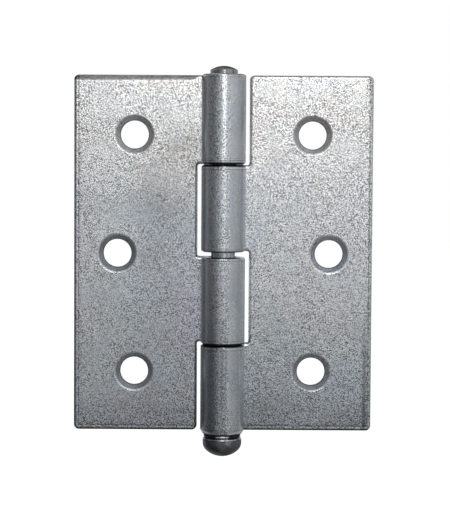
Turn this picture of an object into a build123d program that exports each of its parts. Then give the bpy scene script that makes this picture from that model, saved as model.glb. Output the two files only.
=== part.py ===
from build123d import *
from math import asin, degrees
import os

# A light steel butt hinge, lying open. Two leaves are stamped from sheet, and the tabs along their
# inner edges are rolled into knuckles round one headed pin. Both backs are flat and in one plane.
#
# +Z runs up the pin, +X to the right and +Y away from a person who faces the countersunk side.
# The origin is on the pin's axis, halfway up the whole hinge. All sizes are in millimetres.

# Whole hinge
LEAF_HEIGHT = 76.2          # 3 in
OPEN_WIDTH = 64.0           # nominally 2 1/2 in, over both leaves
SHEET = 2.0                 # thickness of the steel
KNUCKLE_DIAMETER = 9.4

# Knuckles, from the end of a leaf inwards
END_KNUCKLE = 18.95         # length of the knuckle at the end of each leaf
END_GAP = 0.15              # between an end knuckle and its neighbour
MIDDLE_GAP = 1.1            # between the two inner knuckles
ROLL_ANGLE = 303.0          # how far a tab wraps round, from its tangent with the flat back
SLOT = 0.8                  # between a knuckle and the cut edge of the other leaf

# Edges of the stamped sheet
CORNER_RADIUS = 1.05        # outline corners that stick out
NOTCH_RADIUS = 0.4          # outline corners inside the notches
FRONT_ROLL = 0.65           # the front edge, drawn over by the punch
BORE_BEVEL = 0.5            # what that edge comes to inside a knuckle, where the roll squeezes it
BACK_EDGE = 0.3             # the back edge, broken by tumbling
WORN_EDGE = 0.45            # the outer edges of the knuckles and of the pin's head, worn to two bevels
WORN_DEPTH = 0.065          # where the two bevels meet, in from the side
WORN_RISE = 0.25            # and in from the end
SEAM_EDGE = 0.25            # the cut end of a rolled tab

# End of the bottom knuckle, squeezed in to a cone after the roll
SWAGE_LENGTH = 0.95
SWAGE_DIAMETER = 8.2
SWAGE_LIP = 0.2
SWAGE_OVERHANG = 0.25       # how far it was squeezed out past the leaf's edge

# Countersunk screw holes, measured from the pin's axis and from half height
HOLE_DIAMETER = 6.0
COUNTERSINK_DIAMETER = 8.0
COUNTERSINK_LIP = 0.15
OUTER_HOLE_OUT = 19.05      # 3/4 in
OUTER_HOLE_UP = 25.4        # 1 in
MIDDLE_HOLE_OUT = 22.7      # the middle hole stands further out

# Pin, with levels measured from the leaves' half height
PIN_DIAMETER = 5.2
UPSET_DIAMETER = 5.9        # the top end, spread after the pin is driven in
UPSET_RISE = 1.8            # above the leaves
UPSET_START = 0.4           # below the top of the leaves, in the mouth of the bore
UPSET_CROWN_RADIUS = 5.2
UPSET_SHOULDER = 0.4        # radius between its side and its low dome
HEAD_DIAMETER = 8.3
HEAD_GAP = 0.6              # between the swaged knuckle and the head
HEAD_HEIGHT = 4.25
HEAD_CROWN_RADIUS = 5.1
HEAD_SHOULDER = 2.3         # radius between the head's side and its crown

# Worked out from the above
HALF_HEIGHT = LEAF_HEIGHT / 2
HALF_WIDTH = OPEN_WIDTH / 2
BACK = KNUCKLE_DIAMETER / 2
FRONT = BACK - SHEET
BORE = FRONT
NOTCH_DEPTH = BACK + SLOT
PIN_TOP = HALF_HEIGHT + UPSET_RISE
HEAD_TOP = -HALF_HEIGHT - SWAGE_OVERHANG - HEAD_GAP
PIN_BOTTOM = HEAD_TOP - HEAD_HEIGHT
TO_ORIGIN = Pos(0, 0, -(PIN_TOP + PIN_BOTTOM) / 2)

END_SPAN = (-HALF_HEIGHT, -HALF_HEIGHT + END_KNUCKLE)
INNER_SPAN = (MIDDLE_GAP / 2, HALF_HEIGHT - END_KNUCKLE - END_GAP)
NOTCH_SPANS = [(END_SPAN[1], INNER_SPAN[0]), (INNER_SPAN[1], HALF_HEIGHT)]


def near(points, *places):
    """The points that lie at one of the (x, y) places."""
    return [p for p in points if any((Vector(p.X, p.Y) - Vector(*q)).length < 0.01 for q in places)]


def leaf_outline():
    """The right leaf's blank where it lies flat, in (x, z), up to the pin's axis."""
    outline = Pos(HALF_WIDTH / 2, 0) * Rectangle(HALF_WIDTH, LEAF_HEIGHT)
    for low, high in NOTCH_SPANS:
        outline -= Pos(NOTCH_DEPTH / 2, (low + high) / 2) * Rectangle(NOTCH_DEPTH, high - low)
    outward = [(HALF_WIDTH, HALF_HEIGHT), (HALF_WIDTH, -HALF_HEIGHT), (NOTCH_DEPTH, HALF_HEIGHT)]
    inward = [(NOTCH_DEPTH, END_SPAN[1]), (NOTCH_DEPTH, INNER_SPAN[0]), (NOTCH_DEPTH, INNER_SPAN[1])]
    outline = fillet(near(outline.vertices(), *outward), CORNER_RADIUS)
    return fillet(near(outline.vertices(), *inward), NOTCH_RADIUS)


def leaf_plate():
    """The flat of the leaf, with its front edge drawn round and its back edge broken."""
    plate = extrude(Plane.XZ.offset(-BACK) * leaf_outline(), SHEET)
    for level, finish, size in ((FRONT, fillet, FRONT_ROLL), (BACK, chamfer, BACK_EDGE)):
        rim = plate.edges().filter_by_position(Axis.Y, level - 0.01, level + 0.01)
        plate = finish([e for e in rim if e.center().X > 0.01], size)
    return plate


def worn_edge(radius, end, inwards):
    """The worn edge at the end of a round part as two bevels, in (radius, z) from its side to its end."""
    return [
        (radius, end + inwards * WORN_EDGE),
        (radius - WORN_DEPTH, end + inwards * WORN_RISE),
        (radius - WORN_EDGE, end),
    ]


def tab_section(low, high):
    """Section of a tab across the sheet, in (radius, z), with its edges as the roll leaves them."""
    corners = [(BORE, low), *reversed(worn_edge(BACK, low, 1)), *worn_edge(BACK, high, -1), (BORE, high)]
    section = make_face(Polyline(*corners, close=True))
    return chamfer(near(section.vertices(), (BORE, low), (BORE, high)), BORE_BEVEL)


def swaged_section(low, high):
    """The same section, but with its lower end squeezed in to a cone and a little longer."""
    end = low - SWAGE_OVERHANG
    start = end + SWAGE_LENGTH
    mouth = SWAGE_DIAMETER / 2
    corners = [(BORE, end), (mouth, end), (BACK, start), *worn_edge(BACK, high, -1), (BORE, high)]
    section = make_face(Polyline(*corners, close=True))
    section = chamfer(near(section.vertices(), (BORE, high)), BORE_BEVEL)
    return chamfer(near(section.vertices(), (mouth, end), (BACK, start)), SWAGE_LIP)


def knuckle(section):
    """A tab rolled from its tangent at the back, round the far side and up to the front face."""
    rolled = revolve(Plane.YZ * section, Axis.Z, ROLL_ANGLE)
    cut_end = rolled.faces().filter_by(GeomType.PLANE).sort_by(Axis.X)[-1]
    return fillet(cut_end.edges().filter_by(Axis.Z), SEAM_EDGE)


def screw_hole():
    """The cutter for one hole, a cone from the front with a broken lip, and a straight bore."""
    rim = COUNTERSINK_DIAMETER / 2
    bore = HOLE_DIAMETER / 2
    cone_depth = rim - bore
    outline = Polyline(
        (0, -1),
        (rim + 1, -1),
        (rim + 1, 0),
        (rim, 0),
        (bore, cone_depth),
        (bore, SHEET + 1),
        (0, SHEET + 1),
        close=True,
    )
    profile = chamfer(near(make_face(outline).vertices(), (rim, 0)), COUNTERSINK_LIP)
    return revolve(profile, Axis.Y)


def leaf(end_section):
    """The right leaf, with the knuckle at its bottom end made from the section that is given."""
    solid = leaf_plate() + knuckle(end_section(*END_SPAN)) + knuckle(tab_section(*INNER_SPAN))
    hole_places = [
        (OUTER_HOLE_OUT, OUTER_HOLE_UP), (MIDDLE_HOLE_OUT, 0), (OUTER_HOLE_OUT, -OUTER_HOLE_UP)
    ]
    for out, up in hole_places:
        solid -= Pos(out, FRONT, up) * screw_hole()
    return solid


def crown(centre, radius, reach, start):
    """An arc from the pin's axis out to the given reach, from straight up (90) or straight down (-90)."""
    turn = degrees(asin(reach / radius))
    return CenterArc((0, centre), radius, start, -turn if start > 0 else turn)


def pin():
    """The pin: a domed head below, a plain shank, and a spread end with a low dome on top."""
    shank = PIN_DIAMETER / 2
    upset = UPSET_DIAMETER / 2
    head = HEAD_DIAMETER / 2
    dome = crown(PIN_TOP - UPSET_CROWN_RADIUS, UPSET_CROWN_RADIUS, upset, 90)
    bottom = crown(PIN_BOTTOM + HEAD_CROWN_RADIUS, HEAD_CROWN_RADIUS, head, -90)
    rim = dome @ 1
    corner = bottom @ 1
    side = Polyline(
        (rim.X, rim.Y),
        (upset, HALF_HEIGHT),
        (shank, HALF_HEIGHT - UPSET_START),
        (shank, HEAD_TOP),
        *reversed(worn_edge(head, HEAD_TOP, -1)),
        (corner.X, corner.Y),
    )
    axis = Line((0, PIN_BOTTOM), (0, PIN_TOP))
    profile = make_face([dome, side, bottom, axis])
    profile = fillet(near(profile.vertices(), (rim.X, rim.Y)), UPSET_SHOULDER)
    profile = fillet(near(profile.vertices(), (corner.X, corner.Y)), HEAD_SHOULDER)
    return revolve(Plane.XZ * profile, Axis.Z)


def main():
    half_turn = Rot(0, 180, 0)
    nodes = {
        "left_leaf": half_turn * leaf(tab_section),
        "right_leaf": leaf(swaged_section),
        "pin": pin(),
    }
    os.makedirs("parts", exist_ok=True)
    for name, solid in nodes.items():
        export_step(TO_ORIGIN * solid, f"parts/{name}.step")


main()
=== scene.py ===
import logging
import math
from dataclasses import dataclass, field
from enum import Enum
from typing import Any

import bmesh
import bpy
from mathutils import Matrix, Vector


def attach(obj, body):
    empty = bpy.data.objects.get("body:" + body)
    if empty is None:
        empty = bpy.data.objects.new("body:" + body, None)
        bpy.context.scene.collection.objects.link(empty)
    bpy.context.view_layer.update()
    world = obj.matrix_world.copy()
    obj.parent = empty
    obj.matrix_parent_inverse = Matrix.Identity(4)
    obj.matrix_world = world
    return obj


# A zinc-plated butt hinge, open flat, with the countersunk side to the camera (-Y) and the pin along Z.
# Sizes are in millimetres where a name ends in _mm, and in metres elsewhere.
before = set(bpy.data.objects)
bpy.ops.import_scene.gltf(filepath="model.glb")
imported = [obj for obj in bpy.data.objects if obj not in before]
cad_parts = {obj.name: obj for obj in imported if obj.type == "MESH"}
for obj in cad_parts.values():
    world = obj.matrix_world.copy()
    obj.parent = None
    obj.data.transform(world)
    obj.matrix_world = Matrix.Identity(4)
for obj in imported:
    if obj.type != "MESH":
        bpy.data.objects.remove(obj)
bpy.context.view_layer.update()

LOG = logging.getLogger("hinge")
MM = 0.001
FINER_SHARE = 0.65      # strength of each finer layer of noise, next to the one before
Socket = bpy.types.NodeSocket
Tree = bpy.types.NodeTree
Stops = tuple[tuple[float, float], ...]     # pairs of a place and the level there, in order


def to_linear(colour: str) -> tuple[float, float, float, float]:
    """Turns a colour into the linear values that shaders use.

    Args:
        colour: an sRGB colour as #RRGGBB.

    Returns:
        Linear red, green and blue, and an alpha of 1.
    """
    parts = [int(colour[i : i + 2], 16) / 255 for i in (1, 3, 5)]
    linear = [c / 12.92 if c <= 0.04045 else ((c + 0.055) / 1.055) ** 2.4 for c in parts]
    return (*linear, 1.0)


def add_node(
    tree: Tree, kind: str, inputs: dict[str | int, Any] | None = None, **settings: Any
) -> bpy.types.Node:
    """Adds a node with its settings and its inputs.

    Args:
        tree: the node tree that gets it.
        kind: the node's Blender type, without the word ShaderNode in front.
        inputs: what each socket holds, a plain value or another node's output.
        settings: the node's options that differ from Blender's defaults.

    Returns:
        The new node.
    """
    node = tree.nodes.new("ShaderNode" + kind)
    for name, value in settings.items():
        setattr(node, name, value)
    for key, value in (inputs or {}).items():
        if isinstance(value, Socket):
            tree.links.new(value, node.inputs[key])
        else:
            node.inputs[key].default_value = value
    return node


def new_material(name: str) -> tuple[bpy.types.Material, Tree]:
    """Makes a material with an empty node tree.

    Args:
        name: the finish it stands for.

    Returns:
        The material and its tree.
    """
    material = bpy.data.materials.new(name)
    material.use_nodes = True
    material.node_tree.nodes.clear()
    return material, material.node_tree


def new_object(name: str, data: bpy.types.ID) -> bpy.types.Object:
    """Adds an object with its data to the scene, at the origin."""
    made = bpy.data.objects.new(name, data)
    bpy.context.scene.collection.objects.link(made)
    return made


def mesh_object(name: str, shape: bmesh.types.BMesh) -> bpy.types.Object:
    """Turns a finished bmesh into an object in the scene.

    Args:
        name: the object's name.
        shape: the mesh, in its final place; it is freed.

    Returns:
        The object, at the origin.
    """
    mesh = bpy.data.meshes.new(name)
    shape.to_mesh(mesh)
    shape.free()
    return new_object(name, mesh)


def ramp(tree: Tree, value: Socket, way: str, stops: list[tuple[float, tuple[float, ...]]]) -> Socket:
    """A colour that follows a value from stop to stop, and stays the same beyond the last ones.

    Args:
        tree: the node tree.
        value: what the colour follows.
        way: how it goes from stop to stop, EASE or LINEAR.
        stops: pairs of a value and the colour there, in order.

    Returns:
        The output that holds the colour.
    """
    start, end = stops[0][0], stops[-1][0]
    along = add_node(tree, "MapRange", {"Value": value, "From Min": start, "From Max": end})
    made = add_node(tree, "ValToRGB", {0: along.outputs[0]})
    made.color_ramp.interpolation = way
    while len(made.color_ramp.elements) < len(stops):
        made.color_ramp.elements.new(1.0)
    for element, (place, colour) in zip(made.color_ramp.elements, stops):
        element.position = (place - start) / (end - start)
        element.color = colour
    return made.outputs[0]


def levels(tree: Tree, value: Socket, *stops: tuple[float, float]) -> Socket:
    """A level that follows a value softly through stops, each a value and the level there."""
    return ramp(tree, value, "EASE", [(place, (level, level, level, 1.0)) for place, level in stops])


def combine(tree: Tree, operation: str, *values: Socket | float) -> Socket:
    """Joins several values by one operation, from left to right.

    Args:
        tree: the node tree.
        operation: MULTIPLY, ADD, SUBTRACT, MINIMUM, MAXIMUM or another one of two values.
        values: the sockets or plain numbers.

    Returns:
        The output that holds the result.
    """
    result = values[0]
    for value in values[1:]:
        result = add_node(tree, "Math", {0: result, 1: value}, operation=operation).outputs[0]
    return result


def angle_of(tree: Tree, xyz: bpy.types.Node) -> Socket:
    """The angle round the upright axis in degrees, 0 in front, positive to the right."""
    turn = combine(tree, "ARCTAN2", xyz.outputs["X"], combine(tree, "MULTIPLY", xyz.outputs["Y"], -1.0))
    return add_node(tree, "Math", {0: turn}, operation="DEGREES").outputs[0]


@dataclass(frozen=True)
class Viewpoint:
    """Where the photograph was taken from, and the point on the pin's axis that it looks at."""

    distance_mm: float = 346.6      # from that point
    lens_mm: float = 113.0
    sensor_mm: float = 36.0         # along the picture's long side
    across_mm: float = 0.42         # of the point, right of the pin's axis
    level_mm: float = 0.56          # of the point, above the hinge's middle
    above_deg: float = 3.2          # the camera looks down by this much
    roll_deg: float = -0.35         # the pin leans to the right by this much

    def make_camera(self) -> bpy.types.Object:
        """Adds the camera and makes it the scene's own.

        Returns:
            The camera object.
        """
        data = bpy.data.cameras.new("photo_camera")
        data.lens = self.lens_mm
        data.sensor_width = self.sensor_mm
        data.clip_start = 0.01
        data.clip_end = 10.0
        camera = new_object("photo_camera", data)
        down = math.radians(self.above_deg)
        out = Vector((0, -math.cos(down), math.sin(down))) * self.distance_mm
        camera.location = (Vector((self.across_mm, 0, self.level_mm)) + out) * MM
        facing = Matrix.Rotation(math.radians(90) - down, 3, "X")
        camera.rotation_euler = (facing @ Matrix.Rotation(math.radians(-self.roll_deg), 3, "Z")).to_euler()
        bpy.context.scene.camera = camera
        return camera


class SeenBy(Enum):
    """Which rays meet a piece of the studio."""

    EVERYTHING = "everything"
    MIRRORS = "mirrors"


@dataclass
class Studio:
    """A white room, a pale floor, one soft lamp and a grey tent that the bright metal mirrors.

    The tent's greys are those that the leaves and the knuckles mirror in the photograph: dark to the
    left and below, lighter to the right. It is open at the back, to the white room. A black flag hangs
    there, high up, for the pin's low dome and the leaves' top edges to mirror.
    """

    floor_below_m: float = 0.12         # under the hinge's middle
    floor_half_m: float = 2.5
    floor_glow: float = 0.58            # for the lens and for mirrors, on top of the light it scatters
    floor_colour: str = "#F4F4F3"
    tent_radius_m: float = 0.9
    tent_back_m: float = 0.65           # the tent is cut off here, behind the hinge
    tent_bottom_m: float = 0.11         # under the hinge's middle, so above the floor
    tent_segments: int = 48             # round it, and half as many from top to bottom
    lamp_distance_m: float = 0.62
    lamp_azimuth_deg: float = 3.0       # to the right of the camera
    lamp_elevation_deg: float = 27.0
    lamp_width_m: float = 0.2
    lamp_height_m: float = 0.46
    lamp_watts: float = 0.62
    room_light: float = 0.5             # the white room's strength for all but the lens and mirrors
    flag_behind_m: float = 0.6
    flag_half_m: float = 0.5
    flag_from_m: float = 0.085          # above the hinge's middle
    flag_to_m: float = 0.7
    flag_grey: float = 0.09
    greys_by_side: Stops = (            # of the tent, by degrees to the right of the camera
        (-172.0, 0.5), (-150.0, 0.6), (-132.0, 0.62), (-122.0, 0.5), (-114.0, 0.33), (-106.0, 0.22),
        (-79.0, 0.16), (-58.0, 0.155), (-43.0, 0.21), (-30.0, 0.34), (-16.0, 0.52), (0.0, 0.64),
        (16.0, 0.7), (32.0, 0.65), (54.0, 0.54), (79.0, 0.48), (94.0, 0.49), (115.0, 0.55),
        (135.0, 0.62), (172.0, 0.25),
    )
    shade_by_height: Stops = (          # a factor of those greys, by degrees above the hinge
        (-90.0, 0.4), (-38.0, 0.5), (-21.0, 0.45), (-12.0, 0.45), (1.0, 0.98), (17.0, 1.0), (90.0, 0.8)
    )
    parts: list[bpy.types.Object] = field(default_factory=list)

    def lens_and_mirror_rays(self, tree: Tree) -> Socket:
        """A value of 1 for rays that come from the lens, a mirror or glass, and 0 for the rest.

        Args:
            tree: the node tree that needs it.

        Returns:
            The output that holds the value.
        """
        path = add_node(tree, "LightPath")
        kinds = ("Is Camera Ray", "Is Glossy Ray", "Is Transmission Ray")
        return combine(tree, "MAXIMUM", *[path.outputs[kind] for kind in kinds])

    def make_room(self) -> None:
        """The white background, which gives the object only a plain share of its light."""
        world = bpy.data.worlds.new("white_room")
        bpy.context.scene.world = world
        world.use_nodes = True
        tree = world.node_tree
        tree.nodes.clear()
        seen = self.lens_and_mirror_rays(tree)
        strength = add_node(tree, "MapRange", {"Value": seen, "To Min": self.room_light, "To Max": 1.0})
        light = add_node(tree, "Background", {"Color": (1, 1, 1, 1), "Strength": strength.outputs[0]})
        add_node(tree, "OutputWorld", {"Surface": light.outputs[0]})

    def add_part(self, part: bpy.types.Object, material: bpy.types.Material, seen: SeenBy) -> None:
        """Dresses a piece of the studio and notes it as one.

        Args:
            part: the piece.
            material: what it is made of.
            seen: which rays meet it.
        """
        part.data.materials.append(material)
        if seen is SeenBy.MIRRORS:
            part.visible_camera = False
            part.visible_diffuse = False
            part.visible_shadow = False
            part.visible_transmission = False
        self.parts.append(part)

    def make_floor(self) -> None:
        """A wide sheet of white paper below the hinge, which keeps the hinge's shadow."""
        shape = bmesh.new()
        bmesh.ops.create_grid(shape, x_segments=1, y_segments=1, size=self.floor_half_m)
        bmesh.ops.translate(shape, vec=(0, 0, -self.floor_below_m), verts=shape.verts)
        material, tree = new_material("white_paper")
        seen = self.lens_and_mirror_rays(tree)
        paper = add_node(tree, "BsdfDiffuse", {"Color": to_linear(self.floor_colour)})
        glow = add_node(tree, "Emission", {"Strength": combine(tree, "MULTIPLY", seen, self.floor_glow)})
        both = add_node(tree, "AddShader", {0: paper.outputs[0], 1: glow.outputs[0]})
        add_node(tree, "OutputMaterial", {"Surface": both.outputs[0]})
        self.add_part(mesh_object("floor", shape), material, SeenBy.EVERYTHING)

    def cloth(self) -> bpy.types.Material:
        """The tent's cloth, which glows in the greys of its direction from the hinge.

        Returns:
            The material.
        """
        material, tree = new_material("grey_cloth")
        place = add_node(tree, "TexCoord")
        outward = add_node(tree, "VectorMath", {0: place.outputs["Object"]}, operation="NORMALIZE")
        xyz = add_node(tree, "SeparateXYZ", {0: outward.outputs[0]})
        up = add_node(tree, "Math", {0: xyz.outputs["Z"]}, operation="ARCSINE")
        rise = add_node(tree, "Math", {0: up.outputs[0]}, operation="DEGREES")
        grey = combine(
            tree, "MULTIPLY", levels(tree, angle_of(tree, xyz), *self.greys_by_side),
            levels(tree, rise.outputs[0], *self.shade_by_height),
        )
        glow = add_node(tree, "Emission", {"Strength": grey})
        add_node(tree, "OutputMaterial", {"Surface": glow.outputs[0]})
        return material

    def make_tent(self) -> None:
        """A ball of cloth round the hinge with a flat bottom above the floor, open at the back."""
        shape = bmesh.new()
        bmesh.ops.create_uvsphere(
            shape, u_segments=self.tent_segments, v_segments=self.tent_segments // 2,
            radius=self.tent_radius_m,
        )
        cut = bmesh.ops.bisect_plane(
            shape,
            geom=[*shape.verts, *shape.edges, *shape.faces],
            plane_co=(0, 0, -self.tent_bottom_m),
            plane_no=(0, 0, -1),
            clear_outer=True,
        )
        rim = [part for part in cut["geom_cut"] if isinstance(part, bmesh.types.BMEdge)]
        bmesh.ops.edgenet_fill(shape, edges=rim)
        bmesh.ops.bisect_plane(
            shape,
            geom=[*shape.verts, *shape.edges, *shape.faces],
            plane_co=(0, self.tent_back_m, 0),
            plane_no=(0, 1, 0),
            clear_outer=True,
        )
        self.add_part(mesh_object("grey_tent", shape), self.cloth(), SeenBy.MIRRORS)

    def make_flag(self) -> None:
        """A black flag behind the hinge and above its top, which only mirrors see."""
        shape = bmesh.new()
        corners = [
            (side * self.flag_half_m, self.flag_behind_m, height)
            for side, height in (
                (-1, self.flag_from_m), (1, self.flag_from_m), (1, self.flag_to_m), (-1, self.flag_to_m)
            )
        ]
        bmesh.ops.contextual_create(shape, geom=[shape.verts.new(corner) for corner in corners])
        material, tree = new_material("black_flag")
        cloth = add_node(tree, "Emission", {"Strength": self.flag_grey})
        add_node(tree, "OutputMaterial", {"Surface": cloth.outputs[0]})
        self.add_part(mesh_object("black_flag", shape), material, SeenBy.MIRRORS)

    def make_lamp(self) -> None:
        """A soft box in front of the hinge, above the camera and a little to its right."""
        data = bpy.data.lights.new("soft_box", "AREA")
        data.shape = "RECTANGLE"
        data.size = self.lamp_width_m
        data.size_y = self.lamp_height_m
        data.energy = self.lamp_watts
        lamp = new_object("soft_box", data)
        azimuth = math.radians(self.lamp_azimuth_deg)
        elevation = math.radians(self.lamp_elevation_deg)
        level = math.cos(elevation)
        out = Vector((math.sin(azimuth) * level, -math.cos(azimuth) * level, math.sin(elevation)))
        lamp.location = out * self.lamp_distance_m
        lamp.rotation_euler = out.to_track_quat("Z", "Y").to_euler()

    def build(self) -> None:
        """Makes the whole studio."""
        self.make_room()
        self.make_floor()
        self.make_tent()
        self.make_flag()
        self.make_lamp()
        LOG.info("studio: white room, floor, tent, flag and soft box")


@dataclass(frozen=True)
class Place:
    """Where a point of the hinge lies, as sockets of one node tree, in millimetres and degrees."""

    tree: Tree
    point: Socket
    side: Socket        # from the pin's axis, negative to the left
    across: Socket      # the same, positive on both sides
    depth: Socket       # away from the camera's side
    height: Socket      # above the hinge's middle
    angle: Socket       # round the pin, 0 in front, positive to the right


def find_place(tree: Tree) -> Place:
    """Adds the nodes that find a point's place on the hinge.

    Args:
        tree: the finish's node tree.

    Returns:
        The sockets.
    """
    coordinates = add_node(tree, "TexCoord")
    point = add_node(tree, "VectorMath", {0: coordinates.outputs["Object"], 3: 1 / MM}, operation="SCALE")
    xyz = add_node(tree, "SeparateXYZ", {0: point.outputs[0]})
    return Place(
        tree=tree,
        point=point.outputs[0],
        side=xyz.outputs["X"],
        across=add_node(tree, "Math", {0: xyz.outputs["X"]}, operation="ABSOLUTE").outputs[0],
        depth=xyz.outputs["Y"],
        height=xyz.outputs["Z"],
        angle=angle_of(tree, xyz),
    )


def apart(tree: Tree, value: Socket, level: float) -> Socket:
    """How far a value is from a level, on either side."""
    off = combine(tree, "SUBTRACT", value, level)
    return add_node(tree, "Math", {0: off}, operation="ABSOLUTE").outputs[0]


def line_at(tree: Tree, value: Socket, centre: float, half_width: float) -> Socket:
    """1 on the line where a value meets a level, fading to 0 at half the line's width."""
    return levels(tree, apart(tree, value, centre), (0.0, 1.0), (half_width, 0.0))


def swing(place: Place, size_mm: float, detail: float, worms: float, *factors: Socket | float) -> Socket:
    """Cloudy noise that swings about 0, times some factors.

    Args:
        place: the point's place.
        size_mm: the size of its largest lumps.
        detail: how many finer layers lie on them.
        worms: how much the lumps are drawn out and bent.
        factors: sockets or plain numbers.

    Returns:
        The output that holds it.
    """
    lumps = add_node(
        place.tree, "TexNoise",
        {"Vector": place.point, "Scale": 1 / size_mm, "Detail": detail, "Roughness": FINER_SHARE,
         "Distortion": worms},
    )
    return combine(place.tree, "MULTIPLY", combine(place.tree, "SUBTRACT", lumps.outputs[0], 0.5), *factors)


def finish_surface(tree: Tree, colour: Socket, roughness: Socket, height: Socket, metallic: float) -> None:
    """Ends a tree in its shader.

    Args:
        tree: the node tree.
        colour: the surface's colour.
        roughness: its roughness.
        height: its relief, in millimetres.
        metallic: 1 for bare metal.
    """
    bump = add_node(tree, "Bump", {"Distance": MM, "Height": height}).outputs[0]
    shader = add_node(
        tree, "BsdfPrincipled",
        {"Base Color": colour, "Metallic": metallic, "Roughness": roughness, "Normal": bump},
    )
    add_node(tree, "OutputMaterial", {"Surface": shader.outputs[0]})


def distance(tree: Tree, out: Socket, up: Socket, middle: tuple[float, float]) -> Socket:
    """The distance of a point, out and up, from a middle, square to the leaves."""
    ends = {0: add_node(tree, "CombineXYZ", {"X": out, "Y": up}).outputs[0], 1: (*middle, 0.0)}
    return add_node(tree, "VectorMath", ends, operation="DISTANCE").outputs["Value"]


@dataclass(frozen=True)
class LeafPlan:
    """The lines of the leaves that their finish follows, the same on both sides of the pin."""

    half_width_mm: float = 32.0
    top_mm: float = 39.75
    bottom_mm: float = -36.45
    back_mm: float = 4.7                # depth of the flat back
    knuckle_mm: float = 4.7             # outer radius
    slot_mm: float = 5.5                # from the pin's axis to the cut edge beside a knuckle
    open_ends_mm: tuple[float, ...] = (39.75, 2.2, 1.1)     # heights of ends with nothing close by
    ends_above_mm: tuple[float, ...] = (20.8, -17.35)       # of the knuckle above a tight gap
    ends_below_mm: tuple[float, ...] = (20.65, -17.5)       # and of the one below it
    countersink_mm: float = 4.0         # radius of the cone's rim
    lip_mm: float = 0.15                # width of the broken edge round it
    hole_mm: float = 3.0                # radius
    holes_mm: tuple[tuple[float, float], ...] = ((19.05, 27.05), (22.7, 1.65), (19.05, -23.75))

    def on_right(self, place: Place) -> Socket:
        """1 on the right leaf and 0 on the left one."""
        return levels(place.tree, place.side, (-0.5, 0.0), (0.5, 1.0))

    def above_bottom(self, place: Place) -> Socket:
        """The distance above the leaves' lower edges."""
        return combine(place.tree, "SUBTRACT", place.height, self.bottom_mm)

    def inside(self, place: Place) -> Socket:
        """The distance from the nearer outer edge."""
        return combine(place.tree, "SUBTRACT", self.half_width_mm, place.across)

    def from_hole(self, place: Place) -> Socket:
        """The distance from the middle of the nearest screw hole, square to the hole."""
        distances = [distance(place.tree, place.across, place.height, hole) for hole in self.holes_mm]
        return combine(place.tree, "MINIMUM", *distances)

    def from_end(self, place: Place, ends: tuple[float, ...]) -> Socket:
        """The distance along the pin from the nearest of some knuckle ends, given by their heights."""
        return combine(place.tree, "MINIMUM", *[apart(place.tree, place.height, end) for end in ends])


@dataclass(frozen=True)
class Blemish:
    """A round mark on the front of the hinge."""

    side_mm: float
    height_mm: float
    radius_mm: float
    factor: float           # of lightness

    def away(self, place: Place) -> Socket:
        """The distance from its middle, square to the leaves."""
        return distance(place.tree, place.side, place.height, (self.side_mm, self.height_mm))

    def cloud(self, place: Place) -> Socket:
        """A factor of lightness, the mark's own in its middle and 1 from its radius on."""
        return levels(place.tree, self.away(place), (0.0, self.factor), (self.radius_mm, 1.0))

    def ring(self, place: Place, half_line_mm: float) -> Socket:
        """A factor of lightness, the mark's own on a line at its radius and 1 beside the line."""
        line = line_at(place.tree, self.away(place), self.radius_mm, half_line_mm)
        return levels(place.tree, line, (0.0, 1.0), (1.0, self.factor))


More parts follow.
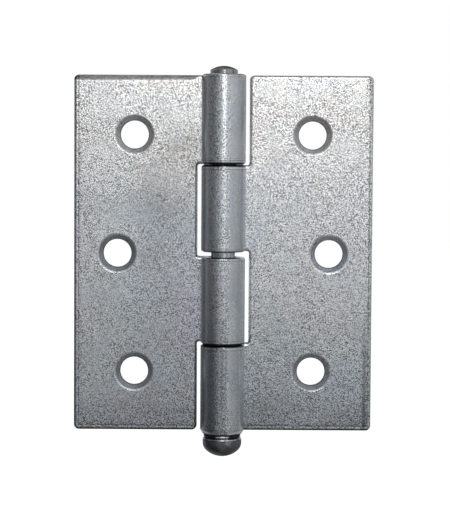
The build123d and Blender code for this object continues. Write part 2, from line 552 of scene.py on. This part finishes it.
@dataclass(frozen=True)
class ZincSheet:
    """Bright zinc, plated in a barrel on cold-rolled sheet steel and passivated clear.

    The zinc levels out most of what rolls and pickling left: the surface is a bright grey mirror broken
    into fine light and dark grains that each lean a little, so it sparkles. Tumbling against other parts
    leaves pale flecks. The passivation is a film thinner than light's wavelength, which tints the zinc
    faintly blue, green and cream in soft clouds. Light and shade are also painted into its colour: across
    the leaves, along their edges, round the countersinks, and round the knuckles and their ends.
    """

    name: str = "barrel_zinc_on_rolled_sheet"
    light: str = "#F8F9FA"
    dark: str = "#76797D"
    tints: tuple[tuple[float, str], ...] = (
        (-0.14, "#F7F8FB"), (-0.05, "#F7FAFA"), (0.0, "#F9F9F9"), (0.05, "#FAF9F7"), (0.14, "#FAF8FA"),
    )
    film_above: str = "#FFFDFB"         # the film's drift over the leaves, warmer at the top
    film_below: str = "#F4F9FF"
    plain_tone: float = 0.62            # between dark and light, without any grain
    grain_mm: float = 0.22              # real grains are finer, and drawn as coarse as they need to show
    grain_gain: float = 6.6
    fleck_mm: float = 0.27              # as coarse as need be, like the grains
    mottle_mm: float = 1.5
    mottle_gain: float = 0.4
    patch_mm: float = 6.0               # patches where the grains are calmer
    cloud_mm: float = 7.0
    cloud_gain: float = 0.4
    tint_mm: float = 11.0
    lean_mm: float = 0.014              # height of the grains
    drawn_in_mm: float = 0.018          # how far the sheet was drawn in round a countersink
    groove_mm: float = 0.02             # depth of the line that the punch left inside the edges
    roughness: float = 0.22
    cone_roughness: float = 0.5         # of the countersinks, which the rolls didn't press
    torn_roughness: float = 0.85        # of the sheared lower edge
    plan: LeafPlan = LeafPlan()
    # the speckle's strength by height, on the left and on the right leaf, and by angle on the knuckles,
    # strongest in the band of their highlight as painted sparkle
    speckle_left: Stops = ((-28.0, 0.94), (-4.0, 0.74), (8.0, 0.74), (30.0, 1.08))
    speckle_right: Stops = ((-28.0, 1.28), (2.0, 1.08), (16.0, 1.05), (30.0, 0.98))
    speckle_round: Stops = ((-48.0, 0.12), (-33.0, 0.6), (-8.0, 1.05), (8.0, 0.95), (20.0, 0.12))
    speckle_low: Stops = ((1.5, 1.7), (6.5, 1.0))           # by the distance above the lower edges
    speckle_outside: Stops = ((1.5, 1.25), (5.0, 1.0))      # by the distance from the outer edges
    speckle_patches: Stops = ((-0.1, 0.45), (0.06, 1.3))    # by the patches' noise
    fleck_levels: Stops = ((0.13, 0.0), (0.24, 0.5))        # only the crests of the noise are flecks
    # painted light: the left leaf lighter towards its outer edge, by side, and the right leaf lightest a
    # little below its middle, by height
    painted_light_left: Stops = ((-31.0, 1.25), (-22.0, 1.15), (-13.0, 1.05), (-6.0, 1.03))
    painted_light_right: Stops = (
        (-30.0, 1.07), (-15.0, 1.2), (-4.0, 1.39), (9.0, 1.27), (22.0, 1.18), (36.0, 0.98),
    )
    # painted reflection on the rounded upper edges: the left leaf's dark and light bands, where the shear
    # left a band, by the distance below the edge; their width by side; how they end near the sheet's
    # middle; and a painted highlight line beyond them
    top_edge_reflection: Stops = ((0.06, 0.7), (0.16, 1.0), (0.28, 0.6), (0.4, 0.25), (0.65, 0.2), (0.82, 0.36))
    top_band_width: Stops = ((-31.5, 1.16), (-6.5, 1.0), (-5.0, 0.0))
    top_band_depth: Stops = ((3.4, 1.0), (3.6, 0.0))
    top_highlight_line: Stops = ((0.1, 1.0), (0.22, 1.25), (0.7, 1.0))
    # painted shade along the outline: along the sheared lower edge by the distance above it, along the left
    # edge by the distance from it and by height, and by height along the slot beside the third knuckle
    torn_shaded_edge: Stops = ((0.22, 0.97), (0.34, 0.5), (0.48, 0.0))
    left_edge: Stops = ((0.12, 1.0), (0.42, 0.0))
    left_edge_fade: Stops = ((-36.0, 0.8), (0.0, 0.62), (38.0, 0.35))
    slot_edge_fade: Stops = ((-19.0, 0.8), (-16.0, 0.0))
    # painted shade: darker above the lower edges, and inside the outer and the lower edges together
    low_shade: Stops = ((0.9, 0.76), (3.0, 0.85), (8.0, 1.0))
    edge_shade: Stops = ((0.9, 0.92), (2.4, 1.0))
    # the lower right edge, by height and by side, where the painted highlight line along the rounded edge is
    # brighter and a painted shade line inside it is dark, and the strength of both
    bright_edge_low: Stops = ((-37.0, 1.0), (-24.0, 0.7), (-8.0, 0.0))
    bright_edge_right: Stops = ((28.0, 0.0), (29.0, 1.0))
    bright_edge_gain: float = 0.55
    shade_line_gain: float = 0.6
    edge_gain: float = 0.3              # of the painted highlight line elsewhere
    dash_mm: float = 1.3                # the groove inside the edges is broken into dashes
    dash_levels: Stops = ((-0.12, 0.35), (0.1, 1.0))
    # painted shade in the punch's groove
    groove_shade: float = 0.45
    # painted shade and highlights in rings near a knuckle's end, by the distance from it: an open end, the
    # end above a tight gap, the one below it (its shaded corner, then its rings), and the bottom end by
    # height
    open_rings: Stops = ((0.1, 0.8), (0.3, 1.0), (0.5, 1.0), (0.68, 0.74), (0.9, 1.0))
    above_rings: Stops = ((0.0, 0.5), (0.25, 0.82), (0.8, 0.84), (0.95, 1.15), (1.1, 0.85), (1.35, 1.0))
    below_corner: Stops = ((0.35, 0.14), (0.5, 1.0))
    below_rings: Stops = ((0.45, 1.0), (0.6, 1.5), (0.8, 1.0), (0.95, 0.78), (1.15, 1.0))
    bottom_rings: Stops = (
        (-36.5, 0.15), (-36.25, 1.0), (-36.1, 1.5), (-35.95, 1.5), (-35.8, 1.0), (-35.65, 0.75),
        (-35.45, 0.75), (-35.3, 1.0),
    )
    # painted light round the lower knuckles, darker to the left and lighter to the right, by angle, and by
    # height its strength
    low_knuckle_light: Stops = (
        (-45.0, 0.9), (-30.0, 0.76), (-12.0, 0.8), (-8.0, 0.9), (-5.5, 0.82), (-2.5, 0.6), (0.0, 0.64),
        (4.0, 0.83), (8.5, 0.7), (12.0, 0.95), (15.0, 1.15), (46.0, 1.2), (53.0, 1.6), (60.0, 1.58),
        (68.0, 1.2),
    )
    low_knuckle_light_strength: Stops = ((-22.0, 1.0), (-4.0, 0.25), (6.0, 0.0))
    glint_round: Stops = ((-3.0, 0.0), (3.5, 1.0), (9.0, 0.0))      # a painted highlight line, by angle
    glint_strength: Stops = ((1.8, 0.0), (2.4, 0.22))               # on the upper knuckles, by height
    knuckle_light_gain: float = 1.16          # painted light: the knuckles are drawn brighter than the leaves
    round_bands: tuple[tuple[float, float, float], ...] = (
        (-82.0, 6.0, 1.2), (-70.0, 6.0, 1.7), (-62.0, 6.0, 1.3), (-50.0, 15.0, 1.2), (46.0, 12.0, 0.88),
        (66.0, 8.0, 1.22),
    )                                   # painted reflection bands along faint facets of the roll: angle and half width in degrees, factor
    dents: tuple[Blemish, ...] = (
        Blemish(0.75, -16.3, 0.42, 0.6), Blemish(-22.7, 16.1, 0.3, 0.6), Blemish(14.2, -22.0, 0.35, 0.6),
        Blemish(31.1, 39.0, 0.1, 0.4),
    )                                   # small dents, seen as dark rings, the last one as a spot
    dent_line_mm: float = 0.17          # half the width of such a ring
    # large darker patches on the leaves
    dark_clouds: tuple[Blemish, ...] = (
        Blemish(-13.5, 12.0, 9.0, 0.78), Blemish(-8.5, 25.0, 6.5, 0.8), Blemish(-15.5, 1.0, 7.0, 0.86),
        Blemish(9.5, -32.0, 7.0, 0.86),
    )

    def masks(self, place: Place) -> tuple[Socket, Socket]:
        """Where the sheet is rolled, and where it is countersunk.

        Args:
            place: the point's place.

        Returns:
            1 on the knuckles, and 1 in a countersink or its hole.
        """
        edge = self.plan.knuckle_mm
        lip = self.plan.countersink_mm + self.plan.lip_mm
        near_hole = levels(place.tree, self.plan.from_hole(place), (lip, 1.0), (lip + 0.05, 0.0))
        return (
            levels(place.tree, place.across, (edge - 0.1, 1.0), (edge + 0.1, 0.0)),
            combine(place.tree, "MULTIPLY", near_hole, self.in_front(place)),
        )

    def in_front(self, place: Place) -> Socket:
        """1 from the front through the holes, and 0 on the flat back."""
        back = self.plan.back_mm
        return levels(place.tree, place.depth, (back - 0.4, 1.0), (back - 0.2, 0.0))

    def strength(self, place: Place, knuckle: Socket, cone: Socket) -> Socket:
        """How strong the speckle is.

        Args:
            place: the point's place.
            knuckle: 1 on the knuckles.
            cone: 1 in a countersink.

        Returns:
            The output that holds it, about 1 on the flat.
        """
        tree = place.tree
        by_height = add_node(
            tree, "Mix",
            {0: self.plan.on_right(place), 2: levels(tree, place.height, *self.speckle_left),
             3: levels(tree, place.height, *self.speckle_right)},
        )
        at_edges = combine(
            tree, "MAXIMUM", levels(tree, self.plan.above_bottom(place), *self.speckle_low),
            levels(tree, self.plan.inside(place), *self.speckle_outside),
        )
        patch = levels(tree, swing(place, self.patch_mm, 2.0, 0.5), *self.speckle_patches)
        # painted sparkle: the speckle is strongest in the band where the knuckles' highlight falls
        sparkle_band = levels(tree, place.angle, *self.speckle_round)
        on_roll = add_node(tree, "Mix", {0: knuckle, 2: 1.0, 3: sparkle_band})
        return combine(
            tree, "MULTIPLY", by_height.outputs[0], at_edges, patch, on_roll.outputs[0],
            levels(tree, cone, (0.0, 1.0), (1.0, 0.3)),
        )

    def tone(self, place: Place, grain: Socket, strength: Socket) -> Socket:
        """How light the zinc is, from dark (0) to light (1), without its marks.

        Args:
            place: the point's place.
            grain: the fine grain.
            strength: of the speckle.

        Returns:
            The output that holds it.
        """
        tree = place.tree
        flecks = levels(tree, swing(place, self.fleck_mm, 0.0, 0.4), *self.fleck_levels)
        return combine(
            tree, "ADD", self.plain_tone,
            combine(tree, "MULTIPLY", grain, strength, self.grain_gain),
            combine(tree, "MULTIPLY", flecks, strength),
            swing(place, self.mottle_mm, 2.0, 0.8, strength, self.mottle_gain),
            swing(place, self.cloud_mm, 2.0, 0.3, self.cloud_gain),
        )

    def film(self, place: Place, knuckle: Socket) -> Socket:
        """The passivation's faint tint, as a colour to multiply by.

        Args:
            place: the point's place.
            knuckle: 1 on the knuckles, which keep the cooler tint.

        Returns:
            The output that holds the colour.
        """
        tree = place.tree
        clouds = swing(place, self.tint_mm, 2.0, 0.6)
        tint = ramp(tree, clouds, "LINEAR", [(at, to_linear(colour)) for at, colour in self.tints])
        drift = add_node(
            tree, "Mix",
            {0: combine(tree, "SUBTRACT", levels(tree, place.height, (4.0, 0.0), (26.0, 1.0)), knuckle),
             6: to_linear(self.film_below), 7: to_linear(self.film_above)},
            data_type="RGBA", clamp_factor=True,
        )
        return add_node(
            tree, "Mix", {0: 1.0, 6: tint, 7: drift.outputs[2]}, data_type="RGBA", blend_type="MULTIPLY"
        ).outputs[2]

    def painted_top_edge(self, place: Place) -> Socket:
        """Painted reflection bands along the left leaf's rounded upper edge, where the shear left a band, and
        a painted highlight line below both upper edges.

        Args:
            place: the point's place.

        Returns:
            The output that holds a factor of lightness.
        """
        tree = place.tree
        below_top = combine(tree, "SUBTRACT", self.plan.top_mm, place.height)
        beyond = combine(tree, "SUBTRACT", below_top, levels(tree, place.side, *self.top_band_width))
        within = combine(
            tree, "MULTIPLY", levels(tree, beyond, (-0.1, 1.0), (0.06, 0.0)),
            levels(tree, place.depth, *self.top_band_depth),
        )
        band = levels(tree, below_top, *self.top_edge_reflection)
        bright = levels(tree, beyond, *self.top_highlight_line)
        return add_node(tree, "Mix", {0: within, 2: bright, 3: band}).outputs[0]

    def painted_outline_shade(self, place: Place, torn_and_shaded: Socket) -> Socket:
        """Painted shade along the left edge, along a slot's edge and along the sheared lower edge.

        Args:
            place: the point's place.
            torn_and_shaded: 1 along the sheared lower edge, which is rough and painted dark.

        Returns:
            The output that holds it, 1 for black.
        """
        tree = place.tree
        from_left = combine(tree, "ADD", place.side, self.plan.half_width_mm)
        from_slot = combine(tree, "SUBTRACT", -self.plan.slot_mm, place.side)
        at_left = combine(
            tree, "MULTIPLY", levels(tree, from_left, *self.left_edge),
            levels(tree, place.height, *self.left_edge_fade),
        )
        at_slot = combine(
            tree, "MULTIPLY", line_at(tree, from_slot, 0.08, 0.3),
            levels(tree, place.height, *self.slot_edge_fade),
        )
        return combine(tree, "MAXIMUM", at_left, at_slot, torn_and_shaded)

    def edge_marks_and_shade(self, place: Place) -> tuple[Socket, ...]:
        """The punch's groove, the sheared lower edge, and painted shade and highlights along the outer edges
        of the leaves.

        Args:
            place: the point's place.

        Returns:
            A factor of lightness that is mostly painted shade and highlights, a relief in millimetres, and 1
            along the sheared lower edge, which is rough and painted dark.
        """
        tree = place.tree
        above_bottom = self.plan.above_bottom(place)
        inside = self.plan.inside(place)
        torn_and_shaded = levels(tree, above_bottom, *self.torn_shaded_edge)
        further_in = levels(tree, place.side, (-0.5, 0.0), (0.5, 0.25))
        sides = combine(tree, "MINIMUM", combine(tree, "ADD", inside, further_in), above_bottom)
        dashes = levels(tree, swing(place, self.dash_mm, 1.0, 0.0), *self.dash_levels)
        groove = combine(tree, "MULTIPLY", line_at(tree, sides, 0.98, 0.28), dashes)
        lower_right = combine(
            tree, "MULTIPLY", levels(tree, place.height, *self.bright_edge_low),
            levels(tree, place.side, *self.bright_edge_right),
        )
        # painted shade: a dark line inside the right edge, low down
        shade_line = combine(tree, "MULTIPLY", line_at(tree, inside, 1.5, 0.8), lower_right, self.shade_line_gain)
        gain = combine(
            tree, "ADD", combine(tree, "MULTIPLY", lower_right, self.bright_edge_gain), self.edge_gain
        )
        # painted highlight: a pale line where the rounded edges begin
        pale = combine(tree, "ADD", combine(tree, "MULTIPLY", line_at(tree, sides, 0.6, 0.3), gain), 1.0)
        factor = combine(
            tree, "MULTIPLY", levels(tree, sides, *self.edge_shade),
            levels(tree, above_bottom, *self.low_shade), pale, self.painted_top_edge(place),
            levels(tree, groove, (0.0, 1.0), (1.0, self.groove_shade)),
            combine(tree, "SUBTRACT", 1.0, self.painted_outline_shade(place, torn_and_shaded)),
            combine(tree, "SUBTRACT", 1.0, shade_line),
        )
        return factor, combine(tree, "MULTIPLY", groove, -self.groove_mm), torn_and_shaded

    def painted_knuckle_light(self, place: Place) -> Socket:
        """Painted reflection bands and light round the knuckles, a painted highlight line, and painted shade
        and highlights in rings at their ends.

        Args:
            place: the point's place.

        Returns:
            The output that holds a factor of lightness.
        """
        tree = place.tree
        bands = [
            levels(tree, line_at(tree, place.angle, centre, half), (0.0, 1.0), (1.0, factor))
            for centre, half, factor in self.round_bands
        ]
        at_open = levels(tree, self.plan.from_end(place, self.plan.open_ends_mm), *self.open_rings)
        at_above = levels(tree, self.plan.from_end(place, self.plan.ends_above_mm), *self.above_rings)
        below = self.plan.from_end(place, self.plan.ends_below_mm)
        at_below = combine(
            tree, "MULTIPLY", levels(tree, below, *self.below_corner), levels(tree, below, *self.below_rings)
        )
        at_bottom = levels(tree, place.height, *self.bottom_rings)
        side_light = levels(tree, place.angle, *self.low_knuckle_light)
        glint = combine(
            tree, "MULTIPLY", levels(tree, place.angle, *self.glint_round),
            levels(tree, place.height, *self.glint_strength),
        )
        # painted light by angle, strong on the lower knuckles
        drawn = add_node(tree, "Mix", {0: levels(tree, place.height, *self.low_knuckle_light_strength), 2: 1.0, 3: side_light})
        return combine(
            tree, "MULTIPLY", *bands, at_open, at_above, at_below, at_bottom, drawn.outputs[0],
            combine(tree, "ADD", glint, 1.0), self.knuckle_light_gain,
        )

    def painted_light_and_clouds(self, place: Place) -> Socket:
        """Painted light over the two leaves, by side and by height, and large darker patches.

        Args:
            place: the point's place.

        Returns:
            The output that holds a factor of lightness.
        """
        tree = place.tree
        left = levels(tree, place.side, *self.painted_light_left)
        right = levels(tree, place.height, *self.painted_light_right)
        by_leaf = add_node(tree, "Mix", {0: self.plan.on_right(place), 2: left, 3: right})
        return combine(
            tree, "MULTIPLY", by_leaf.outputs[0], *[mark.cloud(place) for mark in self.dark_clouds]
        )

    def rim_shade_and_relief(self, place: Place) -> tuple[Socket, Socket]:
        """Painted shade lines at the countersinks' edges with a painted highlight on their lips, painted
        shade in the lower countersinks, and the sheet drawn in round each rim.

        Args:
            place: the point's place.

        Returns:
            A factor of lightness, and a relief in millimetres.
        """
        tree = place.tree
        away = self.plan.from_hole(place)
        rim = self.plan.countersink_mm
        hole = self.plan.hole_mm
        factor = levels(
            tree, away, (hole + 0.05, 0.45), (hole + 0.2, 0.95), (rim - 0.35, 1.0), (rim - 0.15, 0.8),
            (rim - 0.02, 1.0), (rim + 0.17, 0.8), (rim + 0.22, 1.12), (rim + 0.35, 1.1), (rim + 0.5, 1.0),
        )
        within = levels(tree, away, (rim - 0.15, 1.0), (rim, 0.0))
        # painted shade: the lower countersinks are darker
        low_cone_shade = combine(tree, "SUBTRACT", 1.0, levels(tree, place.height, (5.0, 0.27), (24.0, 0.05)))
        in_cone = add_node(tree, "Mix", {0: within, 2: 1.0, 3: low_cone_shade}).outputs[0]
        drawn_in = levels(tree, away, (rim + 0.15, 0.0), (rim + 0.3, self.drawn_in_mm))
        return combine(tree, "MULTIPLY", factor, in_cone), drawn_in

    def make(self) -> bpy.types.Material:
        """Builds the node tree.

        Returns:
            The material.
        """
        material, tree = new_material(self.name)
        place = find_place(tree)
        knuckle, cone = self.masks(place)
        strength = self.strength(place, knuckle, cone)
        grain = swing(place, self.grain_mm, 1.0, 0.5)
        edge_factor, edge_relief, torn_and_shaded = self.edge_marks_and_shade(place)
        rim_factor, rim_relief = self.rim_shade_and_relief(place)
        zinc = add_node(
            tree, "Mix",
            {0: self.tone(place, grain, strength), 6: to_linear(self.dark), 7: to_linear(self.light)},
            data_type="RGBA", clamp_factor=True,
        )
        # the colour carries painted light and shade: along the leaves' edges, round the countersinks, across
        # the leaves and round the knuckles
        in_front = self.in_front(place)
        front = add_node(
            tree, "Mix", {0: in_front, 2: 1.0, 3: combine(tree, "MULTIPLY", edge_factor, rim_factor)}
        )
        flat_factor = combine(tree, "MULTIPLY", front.outputs[0], self.painted_light_and_clouds(place))
        factor = add_node(tree, "Mix", {0: knuckle, 2: flat_factor, 3: self.painted_knuckle_light(place)})
        rings = combine(tree, "MULTIPLY", *[dent.ring(place, self.dent_line_mm) for dent in self.dents])
        dented = add_node(tree, "Mix", {0: in_front, 2: 1.0, 3: rings})
        shade = combine(tree, "MULTIPLY", factor.outputs[0], dented.outputs[0])
        filmed = add_node(
            tree, "Mix", {0: 1.0, 6: zinc.outputs[2], 7: self.film(place, knuckle)}, data_type="RGBA",
            blend_type="MULTIPLY",
        )
        colour = add_node(tree, "VectorMath", {0: filmed.outputs[2], 3: shade}, operation="SCALE")
        drawn = combine(tree, "MULTIPLY", combine(tree, "ADD", edge_relief, rim_relief), in_front)
        relief = combine(tree, "ADD", combine(tree, "MULTIPLY", grain, strength, self.lean_mm), drawn)
        roughness = combine(
            tree, "MAXIMUM", levels(tree, cone, (0.0, self.roughness), (1.0, self.cone_roughness)),
            combine(tree, "MULTIPLY", torn_and_shaded, in_front, self.torn_roughness),
        )
        finish_surface(tree, colour.outputs[0], roughness, relief, metallic=1.0)
        return material


@dataclass(frozen=True)
class ZincPin:
    """Zinc on a pin of drawn steel wire, headed cold.

    The shank keeps the lengthwise lines of the drawing under the zinc. Its head and its struck end were
    smoothed by the blows and are drawn darker, partly as painted shade, and the blows left streaks on
    them. The head's rim gets a painted highlight with painted shade under it, the dome on top is painted
    darker, and the neck over the head gets painted shade at its sides.
    """

    name: str = "zinc_on_drawn_wire"
    shank: str = "#C3C6C9"
    struck: str = "#A3A6A9"
    # drawn darker than the shank, partly as painted shade
    head: str = "#7D8185"
    head_top_mm: float = -37.3
    collar_mm: float = -36.6            # below this, the neck over the head has painted shade, black at its sides
    struck_from_mm: float = 39.7
    # above this the dome is painted darker, as shade
    dome_from_mm: float = 40.95
    draw_line_mm: float = 0.35          # the die's real lines are finer, drawn as coarse as need be
    draw_along: float = 0.06            # scale of the lines along the pin, next to that across it
    draw_levels: Stops = ((0.3, 0.78), (0.7, 1.2))
    draw_depth_mm: float = 0.006
    speckle_mm: float = 0.3
    speckle_gain: float = 1.1
    speckle_lean_mm: float = 0.01
    smear_mm: float = 1.6
    smear_gain: float = 1.2
    roughness: float = 0.24
    roughness_gain: float = 0.25        # of the smears
    # painted highlight on the head's rim, a painted shade line under it and painted shade further down, by
    # the distance below the head's top, and the lightness of the patch on its right by the same
    head_rings: Stops = (
        (0.0, 1.5), (0.2, 1.9), (0.4, 1.6), (0.55, 0.5), (0.75, 1.1), (1.3, 0.95), (2.2, 0.7), (4.2, 0.6),
    )
    head_patch: Stops = ((0.5, 1.0), (2.4, 0.0))
    neck_shade: Stops = ((0.9, 1.0), (1.7, 0.1))            # painted shade at the neck's sides, by the distance from the pin's middle

    def head_shade_and_patch(self, place: Place) -> Socket:
        """The painted highlight on the head's rim and the painted shade rings under it, and the paler patch
        to the right of them.

        Args:
            place: the point's place.

        Returns:
            The output that holds a factor of lightness.
        """
        tree = place.tree
        below = combine(tree, "SUBTRACT", self.head_top_mm, place.height)
        rings = levels(tree, below, *self.head_rings)
        smear = levels(tree, swing(place, self.smear_mm, 2.0, 0.5), (-0.05, 0.0), (0.12, 0.9))
        patch = combine(
            tree, "MULTIPLY", smear, levels(tree, place.side, (0.2, 0.0), (1.2, 1.0)),
            levels(tree, below, *self.head_patch),
        )
        return combine(tree, "MULTIPLY", rings, combine(tree, "ADD", patch, 1.0))

    def make(self) -> bpy.types.Material:
        """Builds the node tree.

        Returns:
            The material.
        """
        material, tree = new_material(self.name)
        place = find_place(tree)
        in_head = levels(tree, place.height, (self.head_top_mm, 1.0), (self.head_top_mm + 0.03, 0.0))
        at_top = levels(tree, place.height, (self.struck_from_mm - 0.1, 0.0), (self.struck_from_mm, 1.0))
        body = add_node(
            tree, "Mix", {0: at_top, 6: to_linear(self.shank), 7: to_linear(self.struck)}, data_type="RGBA"
        )
        whole = add_node(
            tree, "Mix", {0: in_head, 6: body.outputs[2], 7: to_linear(self.head)}, data_type="RGBA"
        )
        stretch = (1.0, 1.0, self.draw_along)
        drawn = add_node(tree, "VectorMath", {0: place.point, 1: stretch}, operation="MULTIPLY").outputs[0]
        lines = add_node(tree, "TexNoise", {"Vector": drawn, "Scale": 1 / self.draw_line_mm, "Detail": 2.0})
        draw = levels(tree, lines.outputs[0], *self.draw_levels)
        speckle = combine(tree, "ADD", swing(place, self.speckle_mm, 1.0, 0.5, self.speckle_gain), 1.0)
        smears = combine(tree, "ADD", swing(place, self.smear_mm, 2.0, 0.8, self.smear_gain), 1.0)
        dome = levels(tree, place.height, (self.dome_from_mm, 1.0), (self.dome_from_mm + 0.2, 0.75))
        marks = add_node(tree, "Mix", {0: in_head, 2: draw, 3: self.head_shade_and_patch(place)})
        above_head = levels(tree, place.height, (self.collar_mm - 0.1, 1.0), (self.collar_mm, 0.0))
        neck_side_shade = add_node(
            tree, "Mix", {0: above_head, 2: 1.0, 3: levels(tree, place.across, *self.neck_shade)}
        )
        in_neck = add_node(tree, "Mix", {0: in_head, 2: neck_side_shade.outputs[0], 3: 1.0})
        factor = combine(tree, "MULTIPLY", marks.outputs[0], speckle, smears, dome, in_neck.outputs[0])
        colour = add_node(tree, "VectorMath", {0: whole.outputs[2], 3: factor}, operation="SCALE")
        roughness = combine(
            tree, "ADD", swing(place, self.smear_mm, 2.0, 0.5, self.roughness_gain), self.roughness
        )
        relief = combine(
            tree, "ADD", swing(place, self.speckle_mm, 1.0, 0.5, self.speckle_lean_mm),
            combine(tree, "MULTIPLY", lines.outputs[0], self.draw_depth_mm),
        )
        finish_surface(tree, colour.outputs[0], roughness, relief, metallic=1.0)
        return material


@dataclass(frozen=True)
class GapShadeFill:
    """Near-black rings of painted shade in the tightest gaps round the pin.

    They fill those gaps so that no light comes through them, and are lumpy, like old dried lubricant
    with metal dust in it.
    """

    name: str = "gap_shade_fill"
    fill_dark: str = "#1B1C1E"
    fill_light: str = "#2E3032"
    lump_mm: float = 0.5
    lump_height_mm: float = 0.05
    roughness: float = 0.45
    roughness_gain: float = 0.8         # of the lumps

    def make(self) -> bpy.types.Material:
        """Builds the node tree.

        Returns:
            The material.
        """
        material, tree = new_material(self.name)
        lumps = swing(find_place(tree), self.lump_mm, 2.0, 0.4)
        colour = add_node(
            tree, "Mix",
            {0: levels(tree, lumps, (-0.1, 0.0), (0.1, 1.0)), 6: to_linear(self.fill_dark), 7: to_linear(self.fill_light)},
            data_type="RGBA",
        )
        relief = combine(tree, "MULTIPLY", lumps, self.lump_height_mm)
        roughness = combine(
            tree, "ADD", combine(tree, "MULTIPLY", lumps, self.roughness_gain), self.roughness
        )
        finish_surface(tree, colour.outputs[2], roughness, relief, metallic=0.0)
        return material


class Body(Enum):
    """The bodies of the hinge, each one CAD node."""

    LEFT_LEAF = "left_leaf"
    RIGHT_LEAF = "right_leaf"
    PIN = "pin"


@dataclass(frozen=True)
class Ring:
    """A thin ring round the pin, with its outer corners rounded off."""

    name: str
    low_mm: float
    high_mm: float
    inner_mm: float
    outer_mm: float
    rider: Body
    slot: str
    steps: int = 96

    def build(self, material: bpy.types.Material) -> bpy.types.Object:
        """Makes the ring and lets it ride on its body.

        Args:
            material: its finish.

        Returns:
            The ring.
        """
        corner = (self.high_mm - self.low_mm) / 4
        section = [
            (self.inner_mm, self.low_mm), (self.outer_mm - corner, self.low_mm),
            (self.outer_mm, self.low_mm + corner), (self.outer_mm, self.high_mm - corner),
            (self.outer_mm - corner, self.high_mm), (self.inner_mm, self.high_mm),
        ]
        shape = bmesh.new()
        verts = [shape.verts.new((out * MM, 0, up * MM)) for out, up in section]
        edges = [shape.edges.new((verts[i - 1], verts[i])) for i in range(len(verts))]
        bmesh.ops.spin(
            shape, geom=[*verts, *edges], cent=(0, 0, 0), axis=(0, 0, 1), angle=math.tau,
            steps=self.steps, use_merge=True,
        )
        bmesh.ops.recalc_face_normals(shape, faces=shape.faces)
        for face in shape.faces:
            face.smooth = abs(face.normal.z) < 0.9
        ring = mesh_object(self.name, shape)
        ring.data.materials.append(material)
        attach(ring, self.rider.value)
        return ring


@dataclass
class Hinge:
    """The hinge: its CAD nodes in their finishes, and the rings of painted shade that fill the tight gaps
    round the pin.
    """

    # dark rings of painted shade in the two tight gaps round the pin
    gap_rings: tuple[Ring, ...] = (
        Ring("upper_gap_shade", 20.67, 20.78, 2.75, 4.2, Body.LEFT_LEAF, "leaf_zinc"),
        Ring("lower_gap_shade", -17.48, -17.37, 2.75, 4.2, Body.LEFT_LEAF, "leaf_zinc"),
    )
    # a wide neck over the head in the pin's zinc, painted black at its sides as shade, so no light comes
    # through the gap over it
    head_collar: Ring = Ring("head_collar", -37.26, -36.76, 2.65, 3.95, Body.PIN, "pin_zinc")

    def dress(self, body: Body, material: bpy.types.Material) -> None:
        """Gives a CAD node its finish in each of its slots.

        Args:
            body: the node's body.
            material: the finish.
        """
        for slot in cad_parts[body.value].material_slots:
            slot.material = material
        LOG.info("%s: %s", body.value, material.name)

    def build(self) -> None:
        """Dresses the leaves and the pin, and adds the rings."""
        sheet = ZincSheet().make()
        wire = ZincPin().make()
        gap_fill = GapShadeFill().make()
        self.dress(Body.LEFT_LEAF, sheet)
        self.dress(Body.RIGHT_LEAF, sheet)
        self.dress(Body.PIN, wire)
        for ring in self.gap_rings:
            ring.build(gap_fill)
            LOG.info("%s: %s", ring.name, gap_fill.name)
        self.head_collar.build(wire)
        LOG.info("%s: %s", self.head_collar.name, wire.name)


def main() -> None:
    """Builds the camera, the studio and the hinge's looks, in that order."""
    bpy.context.scene.view_settings.view_transform = "Standard"
    Viewpoint().make_camera()
    Studio().build()
    Hinge().build()


if __name__ == "__main__":
    logging.basicConfig(level=logging.INFO, format="%(name)s: %(message)s")
    main()
